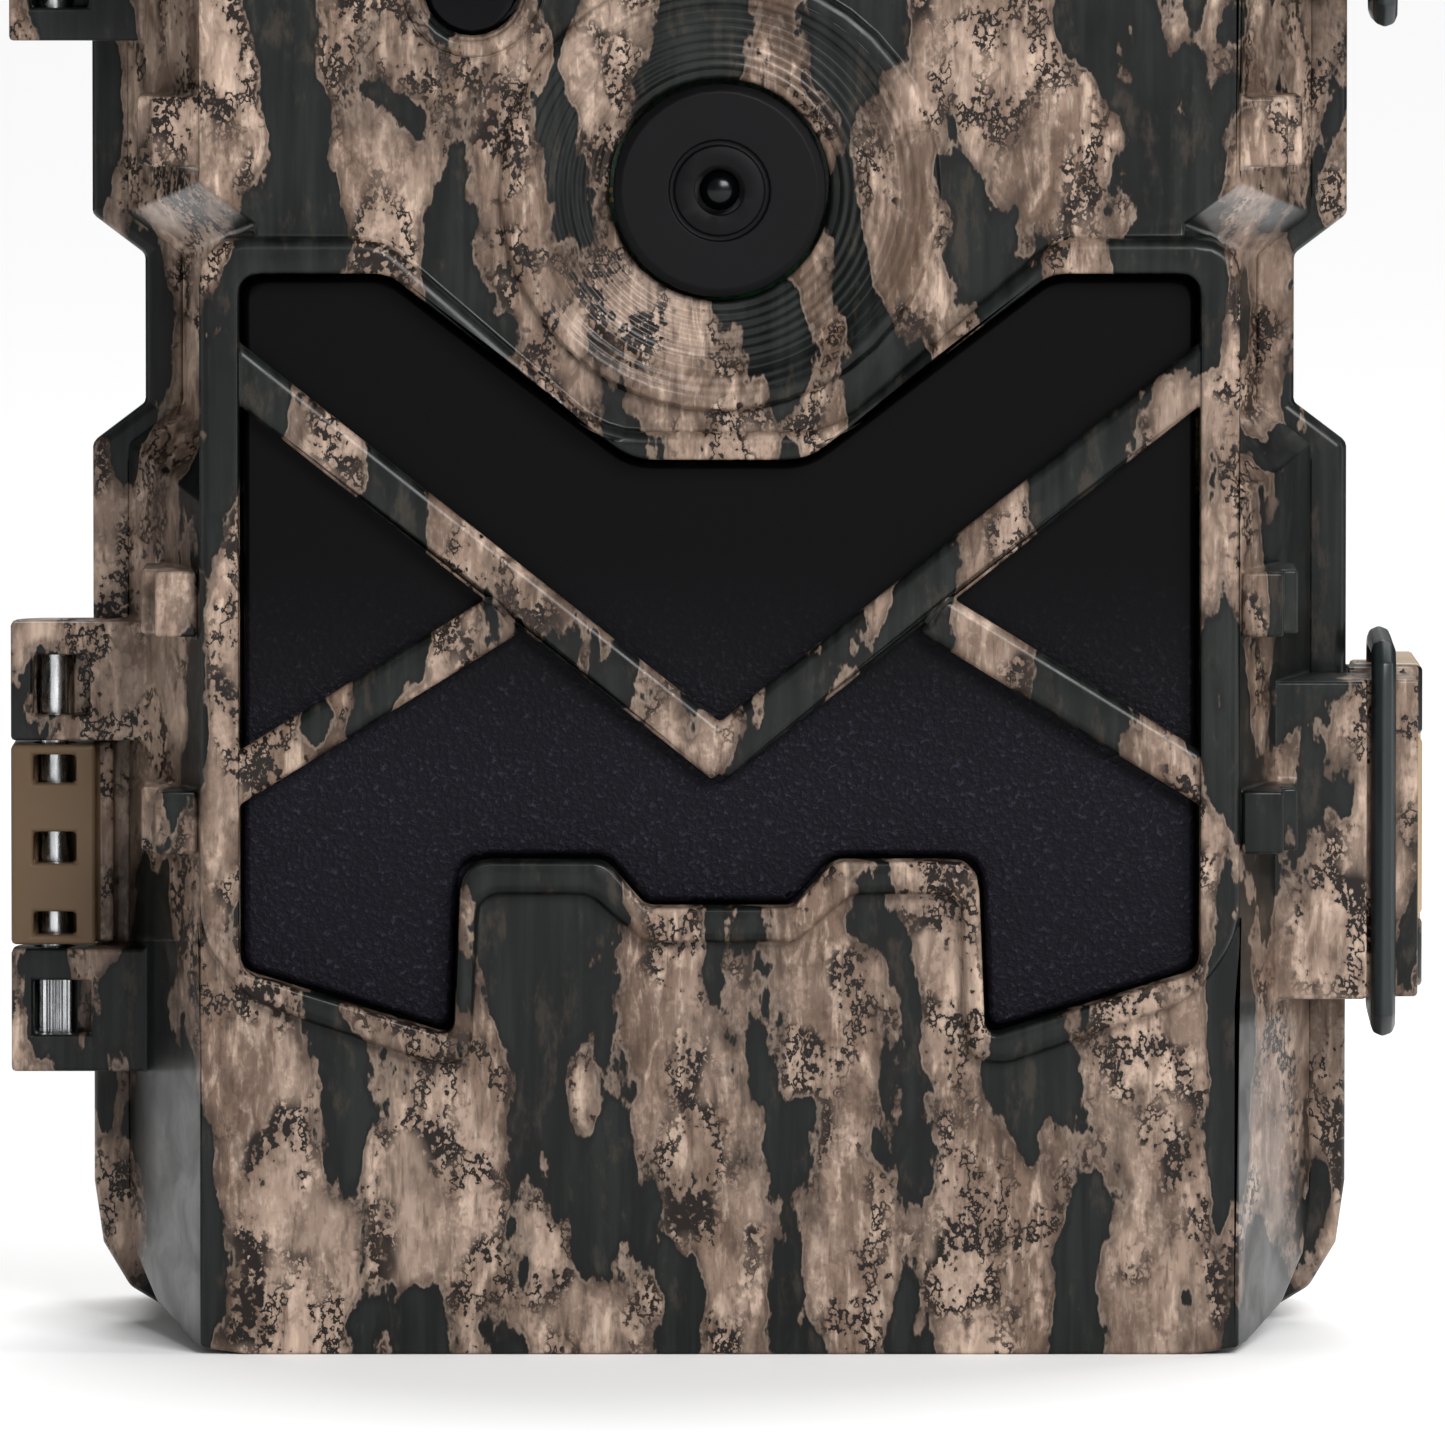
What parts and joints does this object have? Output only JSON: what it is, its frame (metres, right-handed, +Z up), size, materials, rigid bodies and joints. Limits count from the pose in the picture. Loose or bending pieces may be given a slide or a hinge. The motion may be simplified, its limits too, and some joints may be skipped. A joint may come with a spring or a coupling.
{
  "type": "trail camera",
  "caption": "Battery trail camera that straps to a tree: hinged camo case with lens, motion window and infrared lamps, side draw latches and an inner control panel.",
  "frame": {"origin": "centre of the box around the closed camera, on the flat bottom it stands on", "axes": "+Z up, the lens looks along -Y, +X to the right of a viewer facing the lens, hinges at -X and latches at +X"},
  "size_m": [0.0991, 0.06, 0.14],
  "materials": {
    "camo_shell": "satin bark-pattern film over moulded plastic",
    "window_black": "smooth near-black tinted plastic",
    "window_stippled": "fine stippled near-black plastic",
    "lens_black": "matt black disc",
    "glass": "coated glass",
    "tan_plastic": "satin tan plastic",
    "rubber_black": "matt rubber",
    "steel_pin": "bright steel",
    "wire_dark": "dark coated steel wire",
    "brass_insert": "turned brass",
    "contact_nickel": "nickel-plated sheet",
    "circuit_board": "green solder mask",
    "cell_wrap": "printed sleeve, plain",
    "charcoal_plastic": "fine matt texture",
    "fresnel_white": "translucent white sheet"
  },
  "bodies": {
    "rear_case": {"rear_shell": "camo_shell", "rim_gasket": "rubber_black", "tripod_insert": "brass_insert", "power_jack": "window_black", "battery_tray": "window_black", "hinge_pin_lower": "steel_pin", "hinge_pin_upper": "steel_pin", "latch_pin_lower": "steel_pin", "latch_pin_upper": "steel_pin", "cell_lower_1": "cell_wrap", "cell_lower_2": "cell_wrap", "cell_lower_3": "cell_wrap", "cell_lower_4": "cell_wrap", "contact_lower_bottom_1": "contact_nickel", "contact_lower_bottom_2": "contact_nickel", "contact_lower_top_1": "contact_nickel", "contact_lower_top_2": "contact_nickel", "contact_lower_top_3": "contact_nickel", "cell_upper_1": "cell_wrap", "cell_upper_2": "cell_wrap", "cell_upper_3": "cell_wrap", "cell_upper_4": "cell_wrap", "contact_upper_bottom_1": "contact_nickel", "contact_upper_bottom_2": "contact_nickel", "contact_upper_top_1": "contact_nickel", "contact_upper_top_2": "contact_nickel", "contact_upper_top_3": "contact_nickel"},
    "front_door": {"front_shell": "camo_shell", "sensor_window": "window_stippled", "lamp_window": "window_black", "light_window": "window_black", "motion_lens": "fresnel_white", "motion_sensor": "contact_nickel", "lens_cover": "lens_black", "lens_glass": "glass", "lens_barrel": "charcoal_plastic", "imager_board": "circuit_board", "lamp_array": "charcoal_plastic", "lamp_board": "circuit_board", "main_board": "circuit_board", "inner_panel": "charcoal_plastic", "screen": "glass", "card_socket": "contact_nickel", "usb_port": "contact_nickel", "panel_screw_1": "steel_pin", "panel_screw_2": "steel_pin", "panel_screw_3": "steel_pin", "panel_screw_4": "steel_pin"},
    "latch_lever_lower": {"latch_lever_lower": "tan_plastic"},
    "latch_lever_upper": {"latch_lever_upper": "tan_plastic"},
    "latch_bail_lower": {"latch_bail_lower": "wire_dark"},
    "latch_bail_upper": {"latch_bail_upper": "wire_dark"},
    "memory_card": {"memory_card": "charcoal_plastic"},
    "mode_switch": {"mode_switch": "window_black"},
    "jack_plug": {"jack_plug": "rubber_black"},
    "key_up": {"key_up": "rubber_black"},
    "key_down": {"key_down": "rubber_black"},
    "key_left": {"key_left": "rubber_black"},
    "key_right": {"key_right": "rubber_black"},
    "key_ok": {"key_ok": "rubber_black"}
  },
  "joints": [
    {"name": "door_hinge", "type": "hinge", "parent": "rear_case", "child": "front_door", "pos_m": [-0.0466, -0.0082, 0.07], "axis": [0, 0, -1], "range_deg": [0, 110]},
    {"name": "latch_lower_lever", "type": "hinge", "parent": "rear_case", "child": "latch_lever_lower", "pos_m": [0.0475, -0.0015, 0.0348], "axis": [0, 0, -1], "range_deg": [0, 100]},
    {"name": "latch_lower_bail", "type": "hinge", "parent": "latch_lever_lower", "child": "latch_bail_lower", "pos_m": [0.0466, 0.004, 0.0348], "axis": [0, 0, 1], "range_deg": [0, 125]},
    {"name": "latch_upper_lever", "type": "hinge", "parent": "rear_case", "child": "latch_lever_upper", "pos_m": [0.0475, -0.0015, 0.1052], "axis": [0, 0, -1], "range_deg": [0, 100]},
    {"name": "latch_upper_bail", "type": "hinge", "parent": "latch_lever_upper", "child": "latch_bail_upper", "pos_m": [0.0466, 0.004, 0.1052], "axis": [0, 0, 1], "range_deg": [0, 125]},
    {"name": "press_up", "type": "slide", "parent": "front_door", "child": "key_up", "axis": [0, -1, 0], "range_m": [0, 0.0006], "stiffness_N_per_m": 400},
    {"name": "press_down", "type": "slide", "parent": "front_door", "child": "key_down", "axis": [0, -1, 0], "range_m": [0, 0.0006], "stiffness_N_per_m": 400},
    {"name": "press_left", "type": "slide", "parent": "front_door", "child": "key_left", "axis": [0, -1, 0], "range_m": [0, 0.0006], "stiffness_N_per_m": 400},
    {"name": "press_right", "type": "slide", "parent": "front_door", "child": "key_right", "axis": [0, -1, 0], "range_m": [0, 0.0006], "stiffness_N_per_m": 400},
    {"name": "press_ok", "type": "slide", "parent": "front_door", "child": "key_ok", "axis": [0, -1, 0], "range_m": [0, 0.0006], "stiffness_N_per_m": 400},
    {"name": "mode_slide", "type": "slide", "parent": "front_door", "child": "mode_switch", "axis": [1, 0, 0], "range_m": [0, 0.007]},
    {"name": "card_slide", "type": "slide", "parent": "front_door", "child": "memory_card", "axis": [0, 0, -1], "range_m": [0, 0.008]},
    {"name": "plug_pull", "type": "slide", "parent": "rear_case", "child": "jack_plug", "axis": [0, 0, -1], "range_m": [0, 0.012]}
  ],
  "couplings": [
    {"joint": "latch_lower_bail", "follows": "latch_lower_lever", "ratio": 1.25},
    {"joint": "latch_upper_bail", "follows": "latch_upper_lever", "ratio": 1.25}
  ]
}
